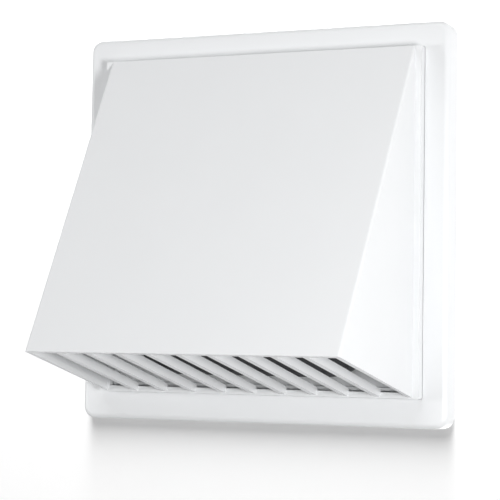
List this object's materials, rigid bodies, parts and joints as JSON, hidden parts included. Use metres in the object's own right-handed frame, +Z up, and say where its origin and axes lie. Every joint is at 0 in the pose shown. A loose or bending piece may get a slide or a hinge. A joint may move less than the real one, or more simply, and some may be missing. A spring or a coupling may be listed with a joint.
{
  "type": "hooded vent cap",
  "caption": "Hooded wall vent cap: square plate with a spigot, a wedge-shaped hood with a bladed underside, and a gravity flap hinged over the duct mouth.",
  "frame": {"origin": "centre of the plate on the face of the wall, on the axis of the duct", "axes": "+X to the right seen from the front, +Y into the wall along the duct, +Z up"},
  "size_m": [0.15, 0.1206, 0.15],
  "materials": {
    "white_moulding": "satin white, moulded",
    "dark_moulding": "fine matte",
    "pin_steel": "drawn wire",
    "soft_rubber": "matte",
    "gasket_foam": "closed-cell foam"
  },
  "bodies": {
    "vent": {"wall_plate": "white_moulding", "hood": "white_moulding", "flap_pin": "pin_steel", "flap_seal": "soft_rubber", "wall_gasket": "gasket_foam"},
    "shutter": {"flap": "dark_moulding", "flap_bumpers": "soft_rubber"}
  },
  "joints": [
    {"name": "flap_hinge", "type": "hinge", "parent": "vent", "child": "shutter", "pos_m": [0, -0.0142, 0.054], "axis": [-1, 0, 0], "range_deg": [0, 30]}
  ]
}
